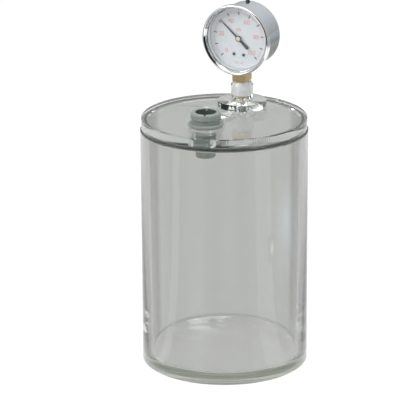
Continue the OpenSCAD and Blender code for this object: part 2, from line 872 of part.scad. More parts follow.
chamber_tube();
base_plate();
lid_plate();
lid_gasket();
gauge_boss();
valve_stopper();
thread_tape();
gauge_socket();
gauge_case();
vent_plug();
bezel_ring();
window();
window_gasket();
dial_plate();
dial_screws();
pointer();
pointer_hub();
pinion_arbor();
hairspring();
spring_stud();
front_plate();
back_plate();
pillars();
movement_screws();
sector_gear();
sector_arbor();
link();
link_pin();
bourdon_tube();
tube_tip();
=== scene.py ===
import bpy
import bmesh
import json
import math
from mathutils import Matrix, Vector


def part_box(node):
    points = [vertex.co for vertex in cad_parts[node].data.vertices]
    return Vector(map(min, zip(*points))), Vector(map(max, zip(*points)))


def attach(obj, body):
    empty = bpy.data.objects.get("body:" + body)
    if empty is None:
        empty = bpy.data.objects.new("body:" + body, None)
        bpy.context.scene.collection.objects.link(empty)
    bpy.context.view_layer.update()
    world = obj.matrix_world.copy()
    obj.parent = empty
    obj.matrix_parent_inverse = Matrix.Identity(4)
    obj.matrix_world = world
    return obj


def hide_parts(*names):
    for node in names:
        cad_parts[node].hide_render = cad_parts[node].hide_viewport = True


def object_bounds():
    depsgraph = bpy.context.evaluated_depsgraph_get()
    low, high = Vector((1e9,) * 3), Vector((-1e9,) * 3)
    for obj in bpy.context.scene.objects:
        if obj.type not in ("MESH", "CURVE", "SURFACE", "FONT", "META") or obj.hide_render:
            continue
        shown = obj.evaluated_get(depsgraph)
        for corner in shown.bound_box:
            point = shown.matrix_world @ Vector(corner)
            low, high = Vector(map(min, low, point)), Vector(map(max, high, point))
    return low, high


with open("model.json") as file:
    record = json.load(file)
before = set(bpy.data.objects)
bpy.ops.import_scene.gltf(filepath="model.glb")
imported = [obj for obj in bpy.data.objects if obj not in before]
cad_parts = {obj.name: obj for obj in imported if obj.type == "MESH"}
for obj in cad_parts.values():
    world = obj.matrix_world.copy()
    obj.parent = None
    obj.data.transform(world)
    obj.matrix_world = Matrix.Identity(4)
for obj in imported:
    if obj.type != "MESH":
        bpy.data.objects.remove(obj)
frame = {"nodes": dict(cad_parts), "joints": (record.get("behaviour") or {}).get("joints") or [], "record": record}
CAD_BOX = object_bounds()
NODES = frame["nodes"]
SLOT_OF = {part["node"]: part["material_slot"] for part in frame["record"]["subparts"]}
SCENE = bpy.context.scene
MM = 0.001

# Places that the CAD gives. BOND_GAP is the width of the joint that it leaves between bonded pieces.
BOND_GAP = 0.05 * MM
GAUGE = Vector(next(j for j in frame["joints"] if j["name"] == "pointer_turn")["pos_m"])
DIAL_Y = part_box("dial_plate")[0][1]
DISC_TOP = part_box("base_plate")[1][2]
LID_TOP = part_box("lid_plate")[1][2]
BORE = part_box("base_plate")[1][0] + BOND_GAP


# ---------- node helpers ----------

# Sockets of a Mix node that mixes colours.
MIX_FACTOR, MIX_A, MIX_B, MIX_RESULT = 0, 6, 7, 2


def new_mat(name):
    m = bpy.data.materials.new(name)
    m.use_nodes = True
    m.node_tree.nodes.clear()
    return m


def add(m, kind, **settings):
    n = m.node_tree.nodes.new(kind)
    for key, value in settings.items():
        setattr(n, key, value)
    return n


def wire(m, a, b):
    m.node_tree.links.new(a, b)


def out_of(m, shader, volume=None):
    o = add(m, "ShaderNodeOutputMaterial")
    wire(m, shader, o.inputs["Surface"])
    if volume is not None:
        wire(m, volume, o.inputs["Volume"])


def grey(v):
    return (v, v, v)


def times(colour, k):
    return tuple(c * k for c in colour)


def coords(m, scale=(1, 1, 1), shift=(0, 0, 0)):
    tc = add(m, "ShaderNodeTexCoord")
    mp = add(m, "ShaderNodeMapping")
    mp.inputs["Scale"].default_value = scale
    mp.inputs["Location"].default_value = shift
    wire(m, tc.outputs["Object"], mp.inputs["Vector"])
    return mp.outputs["Vector"]


def height_of(m):
    """Height of the shaded point in the frame."""
    split = add(m, "ShaderNodeSeparateXYZ")
    wire(m, coords(m), split.inputs["Vector"])
    return split.outputs["Z"]


def noise(m, vec, scale, detail=3.0):
    n = add(m, "ShaderNodeTexNoise")
    n.inputs["Scale"].default_value = scale
    n.inputs["Detail"].default_value = detail
    wire(m, vec, n.inputs["Vector"])
    return n.outputs["Fac"]


def ramp(m, fac, stops):
    r = add(m, "ShaderNodeValToRGB")
    e = r.color_ramp.elements
    while len(e) < len(stops):
        e.new(0.5)
    for i, (pos, col) in enumerate(stops):
        e[i].position = pos
        e[i].color = (*col, 1)
    wire(m, fac, r.inputs["Fac"])
    return r.outputs["Color"]


def mottle(m, n, low, high):
    """Colour that wanders between low and high with the noise n."""
    return ramp(m, n, [(0.3, low), (0.7, high)])


def spread(m, fac, low, high):
    """low where fac is 0, high where it is 1."""
    r = add(m, "ShaderNodeMapRange")
    r.inputs["To Min"].default_value = low
    r.inputs["To Max"].default_value = high
    wire(m, fac, r.inputs["Value"])
    return r.outputs["Result"]


def share(m, value, start, end):
    """0 where value is start, 1 where it is end."""
    r = add(m, "ShaderNodeMapRange")
    r.inputs["From Min"].default_value = start
    r.inputs["From Max"].default_value = end
    wire(m, value, r.inputs["Value"])
    return r.outputs["Result"]


def bump(m, height, strength, distance):
    b = add(m, "ShaderNodeBump")
    b.inputs["Strength"].default_value = strength
    b.inputs["Distance"].default_value = distance
    wire(m, height, b.inputs["Height"])
    return b.outputs["Normal"]


def blend(m, fac, a, b):
    """Colour a where fac is 0 and b where it is 1; a and b are sockets or plain colours."""
    mix = add(m, "ShaderNodeMix", data_type="RGBA")
    wire(m, fac, mix.inputs[MIX_FACTOR])
    for place, colour in ((MIX_A, a), (MIX_B, b)):
        if isinstance(colour, tuple):
            mix.inputs[place].default_value = (*colour, 1)
        else:
            wire(m, colour, mix.inputs[place])
    return mix.outputs[MIX_RESULT]


def above(m, height):
    """1 where the point is higher than height, else 0."""
    step = add(m, "ShaderNodeMath", operation="GREATER_THAN")
    wire(m, height_of(m), step.inputs[0])
    step.inputs[1].default_value = height
    return step.outputs["Value"]


def from_axis(m, centre, limit, along="Y"):
    """1 where the point lies within limit of the line through centre along Y or Z, else 0."""
    split = add(m, "ShaderNodeSeparateXYZ")
    wire(m, coords(m, shift=[-c for c in centre]), split.inputs["Vector"])
    flat = add(m, "ShaderNodeCombineXYZ")
    wire(m, split.outputs["X"], flat.inputs["X"])
    across = "Z" if along == "Y" else "Y"
    wire(m, split.outputs[across], flat.inputs[across])
    size = add(m, "ShaderNodeVectorMath", operation="LENGTH")
    wire(m, flat.outputs["Vector"], size.inputs[0])
    step = add(m, "ShaderNodeMath", operation="LESS_THAN")
    wire(m, size.outputs["Value"], step.inputs[0])
    step.inputs[1].default_value = limit
    return step.outputs["Value"]


# ---------- kinds of material ----------

METAL_RELIEF = 0.1 * MM
MATT_RELIEF = 0.2 * MM


def acrylic(name, zones, depth, density, lines=(1, 1, 1), vary=0.03, wave=0.0, shade=0.9):
    """Clear plastic: bends light and is smoky at its skin and where it is thick.

    zones lists (height from which it holds, tint, tint seen edge on) from the bottom up. The edge-on tint is
    painted shade that darkens the rims seen at grazing angles.
    depth and density are colour and strength of the smoke inside. lines scales the coordinates of
    the noise, so a small third value draws it out upright. vary is how far the noise darkens the
    tint, wave is the strength of the ripples, and shade is the share of light that each surface
    passes on into the shadow.
    """
    spots, haze, ripples = 28.0, 60.0, 90.0
    ripple_height = 0.4 * MM
    m = new_mat(name)
    vec = coords(m, lines)
    p = add(m, "ShaderNodeBsdfPrincipled")
    p.inputs["Transmission Weight"].default_value = 1.0
    p.inputs["IOR"].default_value = 1.49
    cloud = noise(m, vec, spots, 4.0)
    edge_shade_slant = add(m, "ShaderNodeLayerWeight")
    edge_shade_slant.inputs["Blend"].default_value = 0.5
    # Painted edge shade: the tint turns to the edge-on tint at grazing angles.
    turn = ramp(m, edge_shade_slant.outputs["Facing"], [(0.50, grey(0.0)), (0.60, grey(1.0))])
    colour = None
    for height, tint, edge in zones:
        skin = ramp(m, cloud, [(0.35, times(tint, 1 - vary)), (0.65, tint)])
        zone = blend(m, turn, skin, edge)
        colour = blend(m, above(m, height), colour, zone) if colour else zone
    wire(m, colour, p.inputs["Base Color"])
    wire(m, spread(m, noise(m, vec, haze), 0.0, 0.01), p.inputs["Roughness"])
    if wave:
        relief = bump(m, noise(m, vec, ripples, 2.0), wave, ripple_height)
        wire(m, relief, p.inputs["Normal"])
    clear = add(m, "ShaderNodeBsdfTransparent")
    clear.inputs["Color"].default_value = (*grey(shade), 1)
    path = add(m, "ShaderNodeLightPath")
    mix = add(m, "ShaderNodeMixShader")
    wire(m, path.outputs["Is Shadow Ray"], mix.inputs["Fac"])
    wire(m, p.outputs["BSDF"], mix.inputs[1])
    wire(m, clear.outputs["BSDF"], mix.inputs[2])
    inside = add(m, "ShaderNodeVolumeAbsorption")
    inside.inputs["Color"].default_value = (*depth, 1)
    inside.inputs["Density"].default_value = density
    out_of(m, mix.outputs["Shader"], inside.outputs["Volume"])
    return m


def surface(m, n, colour, rough, strength, depth, metallic=0.0):
    """Opaque shader whose roughness and relief follow the noise n."""
    p = add(m, "ShaderNodeBsdfPrincipled")
    p.inputs["Metallic"].default_value = metallic
    wire(m, colour, p.inputs["Base Color"])
    wire(m, spread(m, n, *rough), p.inputs["Roughness"])
    wire(m, bump(m, n, strength, depth), p.inputs["Normal"])
    out_of(m, p.outputs["BSDF"])
    return m


def metal(name, low, high, rough, grain, strength=0.1):
    """Metal coloured from low to high, rough from rough[0] to rough[1]; grain scales its noise."""
    m = new_mat(name)
    n = noise(m, coords(m), grain, 4.0)
    return surface(m, n, mottle(m, n, low, high), rough, strength, METAL_RELIEF, metallic=1.0)


def matt(name, low, high, rough, grain, strength=0.2):
    """Paint, rubber or ink, with the same values as metal."""
    m = new_mat(name)
    n = noise(m, coords(m), grain, 5.0)
    return surface(m, n, mottle(m, n, low, high), rough, strength, MATT_RELIEF)


def stopper_rubber():
    """Grey-green rubber, darker down in the cup: painted shade."""
    low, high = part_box("valve_stopper")
    axis = ((low[0] + high[0]) / 2, (low[1] + high[1]) / 2, 0)
    cup_radius, cup_depth = 9.97 * MM, 6.2 * MM
    m = new_mat("rubber_grey_green")
    n = noise(m, coords(m), 500.0, 5.0)
    outside = mottle(m, n, (0.23, 0.27, 0.24), (0.28, 0.32, 0.29))
    # Painted shade: the darker colour inside the cup.
    inside = mottle(m, n, (0.05, 0.06, 0.055), (0.08, 0.095, 0.085))
    cup_shade_mask = add(m, "ShaderNodeMath", operation="MULTIPLY")
    wire(m, from_axis(m, axis, cup_radius, "Z"), cup_shade_mask.inputs[0])
    wire(m, above(m, high[2] - cup_depth), cup_shade_mask.inputs[1])
    colour = blend(m, cup_shade_mask.outputs["Value"], outside, inside)
    return surface(m, n, colour, (0.45, 0.6), 0.2, MATT_RELIEF)


def case_finish():
    """Plated side and white enamel inside; the back has the enamel on its outer face as well.

    The plating is darker in the lower half, in colour and at grazing angles, and pale blue-grey above: painted
    reflection, not the plating's own colour.
    """
    # Painted reflection: the plating's colour by share of the case's height, dark below and pale blue-grey above.
    painted_reflection = [
        (0.0, (0.26, 0.28, 0.27)),
        (0.30, (0.26, 0.28, 0.27)),
        (0.42, (0.32, 0.34, 0.335)),
        (0.54, (0.72, 0.76, 0.80)),
        (0.75, (0.78, 0.84, 0.90)),
        (1.0, (0.84, 0.90, 0.94)),
    ]
    # Painted reflection at grazing angles: the plating's edge tint is weaker in the lower half.
    rim = [(0.40, grey(0.6)), (0.54, grey(1.0))]
    enamel_reach = 30.6 * MM
    low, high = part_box("gauge_case")
    m = new_mat("case_plated_enamelled")
    n = noise(m, coords(m), 350.0, 4.0)
    rise = share(m, height_of(m), low[2], high[2])
    both = add(m, "ShaderNodeMix", data_type="RGBA", blend_type="MULTIPLY")
    both.inputs[MIX_FACTOR].default_value = 1.0
    wire(m, ramp(m, rise, painted_reflection), both.inputs[MIX_A])
    wire(m, mottle(m, n, grey(0.94), grey(1.0)), both.inputs[MIX_B])
    plate = add(m, "ShaderNodeBsdfPrincipled")
    plate.inputs["Metallic"].default_value = 1.0
    wire(m, both.outputs[MIX_RESULT], plate.inputs["Base Color"])
    wire(m, ramp(m, rise, rim), plate.inputs["Specular Tint"])
    wire(m, spread(m, n, 0.10, 0.20), plate.inputs["Roughness"])
    paint = add(m, "ShaderNodeBsdfPrincipled")
    paint.inputs["Roughness"].default_value = 0.4
    wire(m, mottle(m, n, grey(0.80), grey(0.85)), paint.inputs["Base Color"])
    mix = add(m, "ShaderNodeMixShader")
    wire(m, from_axis(m, GAUGE, enamel_reach), mix.inputs["Fac"])
    wire(m, plate.outputs["BSDF"], mix.inputs[1])
    wire(m, paint.outputs["BSDF"], mix.inputs[2])
    out_of(m, mix.outputs["Shader"])
    return m


# ---------- finishes ----------

SMOKE = (0.32, 0.36, 0.27)
GREEN = (0.25, 0.42, 0.28)
# Painted shade: the disc is darker in its upper half than at its foot and at its top face, and the tube's edge-on
# tint darkens its rims.
VESSEL_ZONES = [
    (0.0, grey(0.86), grey(0.86)),
    (0.48 * DISC_TOP, (0.41, 0.44, 0.38), grey(0.80)),
    (DISC_TOP - 0.2 * MM, (0.52, 0.525, 0.51), grey(0.80)),
    (DISC_TOP + 0.1 * MM, (0.685, 0.69, 0.675), grey(0.265)),
]
LID_ZONES = [
    (0.0, (0.73, 0.755, 0.755), grey(0.70)),
    (LID_TOP + 0.2 * MM, grey(0.97), grey(0.95)),
]
WINDOW_ZONES = [(0.0, (0.97, 0.985, 0.985), (0.90, 0.95, 0.95))]
VESSEL = acrylic("acrylic_vessel", VESSEL_ZONES, SMOKE, 5.5, lines=(1, 1, 0.02), vary=0.06)
LID = acrylic("acrylic_lid", LID_ZONES, SMOKE, 4.0, wave=0.01)
WINDOW = acrylic("window_clear", WINDOW_ZONES, GREEN, 2.0, shade=0.97)
# Pale glue, partly a painted highlight along the corner of tube and disc.
GLUE_WITH_PAINTED_HIGHLIGHT = matt("glue_white_and_painted_highlight", grey(0.72), grey(0.80), (0.2, 0.3), 500.0)
RED_PRINT = matt("print_red", (0.74, 0.24, 0.19), (0.80, 0.30, 0.25), (0.4, 0.5), 900.0)
BLACK_PRINT = matt("print_black", grey(0.03), grey(0.05), (0.4, 0.5), 900.0)
FINISH = {
    "clear_acrylic": VESSEL,
    "base_acrylic": VESSEL,
    "window_glass": WINDOW,
    "black_rubber": matt("rubber_black", grey(0.012), grey(0.03), (0.35, 0.55), 700.0),
    "stopper_rubber": stopper_rubber(),
    "white_tape": matt("tape_white", grey(0.70), grey(0.80), (0.4, 0.6), 900.0, 0.5),
    "brass": metal("brass_machined", (0.56, 0.42, 0.20), (0.66, 0.52, 0.27), (0.24, 0.38), 600.0),
    "chrome": metal("chrome_bright", grey(0.78), (0.84, 0.85, 0.87), (0.03, 0.08), 400.0, 0.02),
    "case_steel": case_finish(),
    "dial_white": matt("dial_paint", (0.72, 0.74, 0.77), (0.76, 0.78, 0.81), (0.3, 0.4), 900.0, 0.1),
    "pointer_black": matt("paint_black", grey(0.012), grey(0.02), (0.3, 0.4), 900.0, 0.1),
    "dark_screw": metal("steel_blackened", grey(0.06), grey(0.12), (0.3, 0.45), 900.0),
    "steel": metal("steel_bright", grey(0.52), grey(0.62), (0.2, 0.35), 700.0),
    "bronze_spring": metal("bronze", (0.48, 0.30, 0.13), (0.58, 0.38, 0.18), (0.25, 0.4), 700.0),
}
OWN_FINISH = {
    "pointer_hub": metal("brass_pale", (0.66, 0.60, 0.46), (0.76, 0.70, 0.56), (0.2, 0.3), 600.0),
    "window_gasket": matt("rubber_white", grey(0.70), grey(0.76), (0.5, 0.6), 700.0),
}


def dress_frame():
    """Give each CAD node its own finish, or else its slot's."""
    for node, slot in SLOT_OF.items():
        finish = OWN_FINISH.get(node, FINISH[slot])
        for place in NODES[node].material_slots:
            place.material = finish


# ---------- mesh helpers ----------

# Points that lie closer than this are joined.
CAD_WELD = 1e-6
LETTER_WELD = 1e-7
SHARP_ANGLE = math.radians(10)


def link_mesh(name, me, material, body):
    ob = bpy.data.objects.new(name, me)
    SCENE.collection.objects.link(ob)
    me.materials.clear()
    me.materials.append(material)
    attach(ob, body)
    return ob


def smooth(me):
    """Smooth shading that keeps the sharper edges."""
    me.shade_smooth()
    me.set_sharp_from_angle(angle=SHARP_ANGLE)


def lathe(name, profile, steps=256):
    """Mesh turned round Z from a closed outline of (radius, height) points; radius 0 is a pole."""
    bm = bmesh.new()
    rings = []
    for r, z in profile:
        if r == 0:
            rings.append([bm.verts.new((0, 0, z))] * steps)
        else:
            turn = [2 * math.pi * i / steps for i in range(steps)]
            rings.append([bm.verts.new((r * math.cos(a), r * math.sin(a), z)) for a in turn])
    for k in range(len(rings)):
        low, high = rings[k], rings[(k + 1) % len(rings)]
        if low[0] is low[1] and high[0] is high[1]:
            continue
        for i in range(steps):
            j = (i + 1) % steps
            corners = []
            for v in (low[i], low[j], high[j], high[i]):
                if v not in corners:
                    corners.append(v)
            bm.faces.new(corners)
    bmesh.ops.recalc_face_normals(bm, faces=bm.faces)
    me = bpy.data.meshes.new(name)
    bm.to_mesh(me)
    bm.free()
    smooth(me)
    return me


def arc(centre, radius, start, end, steps=6):
    """Points of an arc from one angle in degrees to another."""
    turn = [math.radians(start + (end - start) * i / steps) for i in range(steps + 1)]
    return [(centre[0] + radius * math.cos(a), centre[1] + radius * math.sin(a)) for a in turn]


def joined(a, b, name):
    """Union of two meshes without inner faces."""
    ob_a, ob_b = (bpy.data.objects.new(name, me) for me in (a, b))
    for ob in (ob_a, ob_b):
        SCENE.collection.objects.link(ob)
    cut = ob_a.modifiers.new("join", "BOOLEAN")
    cut.operation = "UNION"
    cut.solver = "EXACT"
    cut.object = ob_b
    bpy.context.view_layer.update()
    seen = ob_a.evaluated_get(bpy.context.evaluated_depsgraph_get())
    me = bpy.data.meshes.new_from_object(seen)
    for ob in (ob_a, ob_b):
        bpy.data.objects.remove(ob)
    return me


def solid_copy(node, change=None):
    """The node's mesh as one closed skin, with each point passed through change."""
    bm = bmesh.new()
    bm.from_mesh(NODES[node].data)
    bmesh.ops.remove_doubles(bm, verts=bm.verts, dist=CAD_WELD)
    if change:
        for v in bm.verts:
            v.co = change(v.co)
    me = bpy.data.meshes.new(node + "_copy")
    bm.to_mesh(me)
    bm.free()
    return me


# ---------- chamber ----------

def make_vessel():
    """Tube and base disc as one bonded block of acrylic, rounded in the corner between them."""
    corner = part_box("chamber_tube")[1]
    radius, height = corner[0], corner[2]
    rim = 0.4 * MM
    fillet = 0.9 * MM
    profile = [(0, 0), (radius - rim, 0), (radius, rim), (radius, height - rim), (radius - rim, height),
               (BORE + rim, height), (BORE, height - rim)]
    profile += arc((BORE - fillet, DISC_TOP + fillet), fillet, 0, -90)
    profile += [(0, DISC_TOP)]
    ob = link_mesh("vessel", lathe("vessel", profile), VESSEL, "root")
    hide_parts("chamber_tube", "base_plate")


def make_glue_bead():
    """Line of set glue in the corner between tube and disc; its pale colour is partly a painted highlight along
    that corner.
    """
    from_wall, over_disc, radius = 1.0 * MM, 0.50 * MM, 0.43 * MM
    profile = arc((BORE - from_wall, DISC_TOP + over_disc), radius, 0, 330, 11)
    link_mesh("glue_bead", lathe("glue_bead", profile), GLUE_WITH_PAINTED_HIGHLIGHT, "root")


def make_lid():
    """Lid and gauge boss as one bonded block."""

    def sink(co):
        near = co.z < LID_TOP + 2 * BOND_GAP
        return Vector((co.x, co.y, LID_TOP - BOND_GAP)) if near else co

    me = joined(solid_copy("lid_plate"), solid_copy("gauge_boss", sink), "lid_with_boss")
    smooth(me)
    ob = link_mesh("lid_with_boss", me, LID, "root")
    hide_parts("lid_plate", "gauge_boss")


def make_gasket():
    """Rubber ring between lid and rim; its crown wets the groove so that it shows black from above."""
    low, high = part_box("lid_gasket")
    outer, bottom = high[0], low[2]
    width, groove, bulge, wetting = 2.2 * MM, 1.0 * MM, 0.35 * MM, 0.02 * MM
    inner = outer - width
    shoulder = high[2] - groove - bulge
    top = high[2] + wetting
    profile = [(inner, bottom), (outer - bulge, bottom), (outer, bottom + bulge), (outer, shoulder),
               (outer - bulge, top), (inner + bulge, top), (inner, shoulder)]
    me = lathe("gasket_ring", profile)
    ring = link_mesh("gasket_ring", me, FINISH["black_rubber"], "root")
    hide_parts("lid_gasket")


# ---------- gauge ----------

# The dial's scale: the angle of its zero, the angle of a division (both in degrees) and their number.
SCALE_START, SCALE_STEP, DIVISIONS = 225, 27, 10
FINE_PARTS = 10
# About the height of a capital, as a share of the font's size.
CAPITAL_SHARE = 0.72


def make_bezel():
    """Rolled bezel, finer than the frame's so that its reflections run smoothly."""
    low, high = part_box("bezel_ring")
    front, back, radius = low[1], high[1], high[0] - GAUGE.x
    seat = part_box("window")[0][1]
    roll, wall, cover, lip, crimp, edge = 1.2 * MM, 1.1 * MM, 2.6 * MM, 0.5 * MM, 0.7 * MM, 0.4 * MM
    knee_out, knee_back = 1.3 * MM, 0.1 * MM
    skirt = radius - wall
    foot = Vector((skirt - cover, seat - lip))
    knee = Vector((foot.x + knee_out, front + knee_back))
    crest = Vector((radius - roll, front))
    profile = [(skirt - cover, seat), (skirt - cover, seat - lip)]
    steps = 16
    for i in range(1, steps):
        t = i / steps
        profile.append(tuple(foot * (1 - t) ** 2 + knee * 2 * t * (1 - t) + crest * t ** 2))
    profile += arc((radius - roll, front + roll), roll, -90, 0, steps)
    profile += [(radius, back - edge), (radius - edge, back), (skirt - crimp, back),
                (skirt - crimp, back - crimp), (skirt, back - crimp), (skirt, seat)]
    me = lathe("bezel_rolled", profile)
    me.transform(Matrix.Translation((GAUGE.x, 0, GAUGE.z)) @ Matrix.Rotation(-math.pi / 2, 4, "X"))
    ob = link_mesh("bezel_rolled", me, FINISH["chrome"], "root")
    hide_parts("bezel_ring")


def on_dial(radius, degrees, lift=0.0):
    """Point on the dial's face, or lifted off it towards the window."""
    a = math.radians(degrees)
    return Vector((GAUGE.x + radius * math.cos(a), DIAL_Y - lift, GAUGE.z + radius * math.sin(a)))


def print_mesh(name, outlines, material):
    """Thin ink on the dial's paint: each outline is a list of dial points."""
    bm = bmesh.new()
    ink = 0.03 * MM
    for points in outlines:
        back = [bm.verts.new(p) for p in points]
        front = [bm.verts.new(p - Vector((0, ink, 0))) for p in points]
        n = len(points)
        bm.faces.new(front)
        bm.faces.new(back[::-1])
        for i in range(n):
            bm.faces.new((back[i], back[(i + 1) % n], front[(i + 1) % n], front[i]))
    bmesh.ops.recalc_face_normals(bm, faces=bm.faces)
    me = bpy.data.meshes.new(name)
    bm.to_mesh(me)
    bm.free()
    link_mesh(name, me, material, "root")


def tick(degrees, inner, outer, width):
    """Outline of one radial mark."""
    a = math.radians(degrees)
    along = Vector((math.cos(a), 0, math.sin(a)))
    across = Vector((-along.z, 0, along.x)) * width / 2
    centre = on_dial(0, 0)
    return [centre + along * inner - across, centre + along * outer - across,
            centre + along * outer + across, centre + along * inner + across]


def make_scale():
    """Black main marks and red fine marks."""
    outer = 26.4 * MM
    main_inner, main_width = 23.1 * MM, 0.9 * MM
    fine_inner, fine_width = 24.4 * MM, 0.22 * MM
    main = []
    fine = []
    for k in range(DIVISIONS * FINE_PARTS + 1):
        degrees = SCALE_START - SCALE_STEP * k / FINE_PARTS
        if k % FINE_PARTS:
            fine.append(tick(degrees, fine_inner, outer, fine_width))
        else:
            main.append(tick(degrees, main_inner, outer, main_width))
    print_mesh("scale_main", main, BLACK_PRINT)
    print_mesh("scale_fine", fine, RED_PRINT)


def write(name, text, height, centre):
    """Raised red letters whose capitals have about the given height."""
    curve = bpy.data.curves.new(name, "FONT")
    curve.body = text
    curve.size = height / CAPITAL_SHARE
    curve.align_x = "CENTER"
    curve.align_y = "CENTER"
    curve.extrude = 0.015 * MM
    curve.resolution_u = 3
    ob = bpy.data.objects.new(name, curve)
    SCENE.collection.objects.link(ob)
    ob.location = centre
    ob.rotation_euler = (math.pi / 2, 0, 0)
    bpy.context.view_layer.update()
    me = bpy.data.meshes.new_from_object(ob.evaluated_get(bpy.context.evaluated_depsgraph_get()))
    me.transform(ob.matrix_world)
    me.name = name
    bpy.data.objects.remove(ob)
    bm = bmesh.new()
    bm.from_mesh(me)
    bmesh.ops.remove_doubles(bm, verts=bm.verts, dist=LETTER_WELD)
    bm.to_mesh(me)
    bm.free()
    link_mesh(name, me, RED_PRINT, "root")


def make_numbers():
    """Numbers at every second main mark, the unit and the class."""
    lift = 0.02 * MM
    radius, height = 18.4 * MM, 4.4 * MM
    unit_radius, unit_height = 8.5 * MM, 2.9 * MM
    class_radius, class_height = 24.0 * MM, 2.2 * MM
    for k in range(0, DIVISIONS + 1, 2):
        place = on_dial(radius, SCALE_START - SCALE_STEP * k, lift)
        write("number_%d" % (10 * k), str(10 * k), height, place)
    write("unit", "kPa", unit_height, on_dial(unit_radius, 90, lift))
    write("class", "CL 1.6", class_height, on_dial(class_radius, -90, lift))


def make_tape():
    """Sealing tape wound on the thread and pressed against the bore."""
    low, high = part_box("thread_tape")
    centre = ((low[0] + high[0]) / 2, (low[1] + high[1]) / 2)
    swell, wall, pitch, dip = 0.1 * MM, 0.5 * MM, 1.34 * MM, 0.08 * MM
    outer = (high[0] - low[0]) / 2 + swell
    inner = outer - wall
    turns = int((high[2] - low[2]) / pitch)
    profile = [(inner, low[2]), (outer - dip, low[2])]
    for i in range(turns):
        z = low[2] + (i + 0.5) * pitch
        profile += [(outer, z), (outer - dip, z + pitch / 2)]
    profile += [(inner, low[2] + turns * pitch)]
    me = lathe("tape_wrap", profile, 96)
    me.transform(Matrix.Translation((*centre, 0)))
    ob = link_mesh("tape_wrap", me, FINISH["white_tape"], "root")
    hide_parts("thread_tape")


dress_frame()
make_vessel()
make_glue_bead()
make_lid()
make_gasket()
make_bezel()
make_scale()
make_numbers()
make_tape()


# ---------- stage, light and camera ----------

# Azimuths are in degrees, from the front (-Y) towards the right (+X).
FLOOR_GAP = 0.4 * MM
FLOOR_Z = CAD_BOX[0][2] - FLOOR_GAP
FLOOR_REACH = 12.0
CARD_LIFT = 1.0 * MM
CARD_FACET = 7.5
WALL_FOOT = 0.02
WALL_FACETS = 24
ALL_ROUND = (0, 360)
# Rays that don't meet a card. The first list leaves reflections, the second what shines through.
ONLY_REFLECTED = ("camera", "diffuse", "shadow", "volume_scatter", "transmission")
ONLY_THROUGH = ("camera", "diffuse", "shadow", "volume_scatter", "glossy")


def seen_rays(tree):
    """1 for rays from the camera and for those that metal and glass pass on."""
    path = tree.nodes.new("ShaderNodeLightPath")
    total = path.outputs["Is Camera Ray"]
    for kind in ("Is Glossy Ray", "Is Transmission Ray"):
        both = tree.nodes.new("ShaderNodeMath")
        both.operation = "MAXIMUM"
        tree.links.new(total, both.inputs[0])
        tree.links.new(path.outputs[kind], both.inputs[1])
        total = both.outputs["Value"]
    return total


def floor_material():
    """White that shows as white to the eye, in glass and in metal, and keeps the object's shadow."""
    m = new_mat("stage_white")
    plain = add(m, "ShaderNodeBsdfDiffuse")
    plain.inputs["Color"].default_value = (*grey(0.8), 1)
    half = add(m, "ShaderNodeBsdfDiffuse")
    half.inputs["Color"].default_value = (*grey(0.24), 1)
    lit = add(m, "ShaderNodeEmission")
    lit.inputs["Color"].default_value = (1, 1, 1, 1)
    lit.inputs["Strength"].default_value = 0.8
    seen = add(m, "ShaderNodeAddShader")
    wire(m, half.outputs["BSDF"], seen.inputs[0])
    wire(m, lit.outputs["Emission"], seen.inputs[1])
    mix = add(m, "ShaderNodeMixShader")
    wire(m, seen_rays(m.node_tree), mix.inputs["Fac"])
    wire(m, plain.outputs["BSDF"], mix.inputs[1])
    wire(m, seen.outputs["Shader"], mix.inputs[2])
    out_of(m, mix.outputs["Shader"])
    return m


def stage_mesh(name, verts, faces, material, hidden_from=()):
    me = bpy.data.meshes.new(name)
    me.from_pydata(verts, [], faces)
    ob = bpy.data.objects.new(name, me)
    SCENE.collection.objects.link(ob)
    me.materials.append(material)
    for kind in hidden_from:
        setattr(ob, "visible_" + kind, False)


def make_floor():
    s = FLOOR_REACH
    corners = [(-s, -s, FLOOR_Z), (s, -s, FLOOR_Z), (s, s, FLOOR_Z), (-s, s, FLOOR_Z)]
    stage_mesh("floor", corners, [(0, 1, 2, 3)], floor_material())


def wall_material(name, stops):
    """Glow that changes with height: stops are (metres, colour), from 0 up."""
    m = new_mat(name)
    top = stops[-1][0]
    rise = share(m, height_of(m), 0.0, top)
    e = add(m, "ShaderNodeEmission")
    wire(m, ramp(m, rise, [(z / top, c) for z, c in stops]), e.inputs["Color"])
    out_of(m, e.outputs["Emission"])
    return m


def studio_wall(name, azimuths, far, low, stops, hidden_from):
    """Curved card at the distance far, from one azimuth to another and from low to the last stop."""
    start, end = azimuths
    high = stops[-1][0]
    verts = []
    for i in range(WALL_FACETS + 1):
        a = math.radians(start + (end - start) * i / WALL_FACETS)
        x, y = far * math.sin(a), -far * math.cos(a)
        verts += [(x, y, low), (x, y, high)]
    faces = [(2 * i, 2 * i + 2, 2 * i + 3, 2 * i + 1) for i in range(WALL_FACETS)]
    stage_mesh(name, verts, faces, wall_material(name, stops), hidden_from)


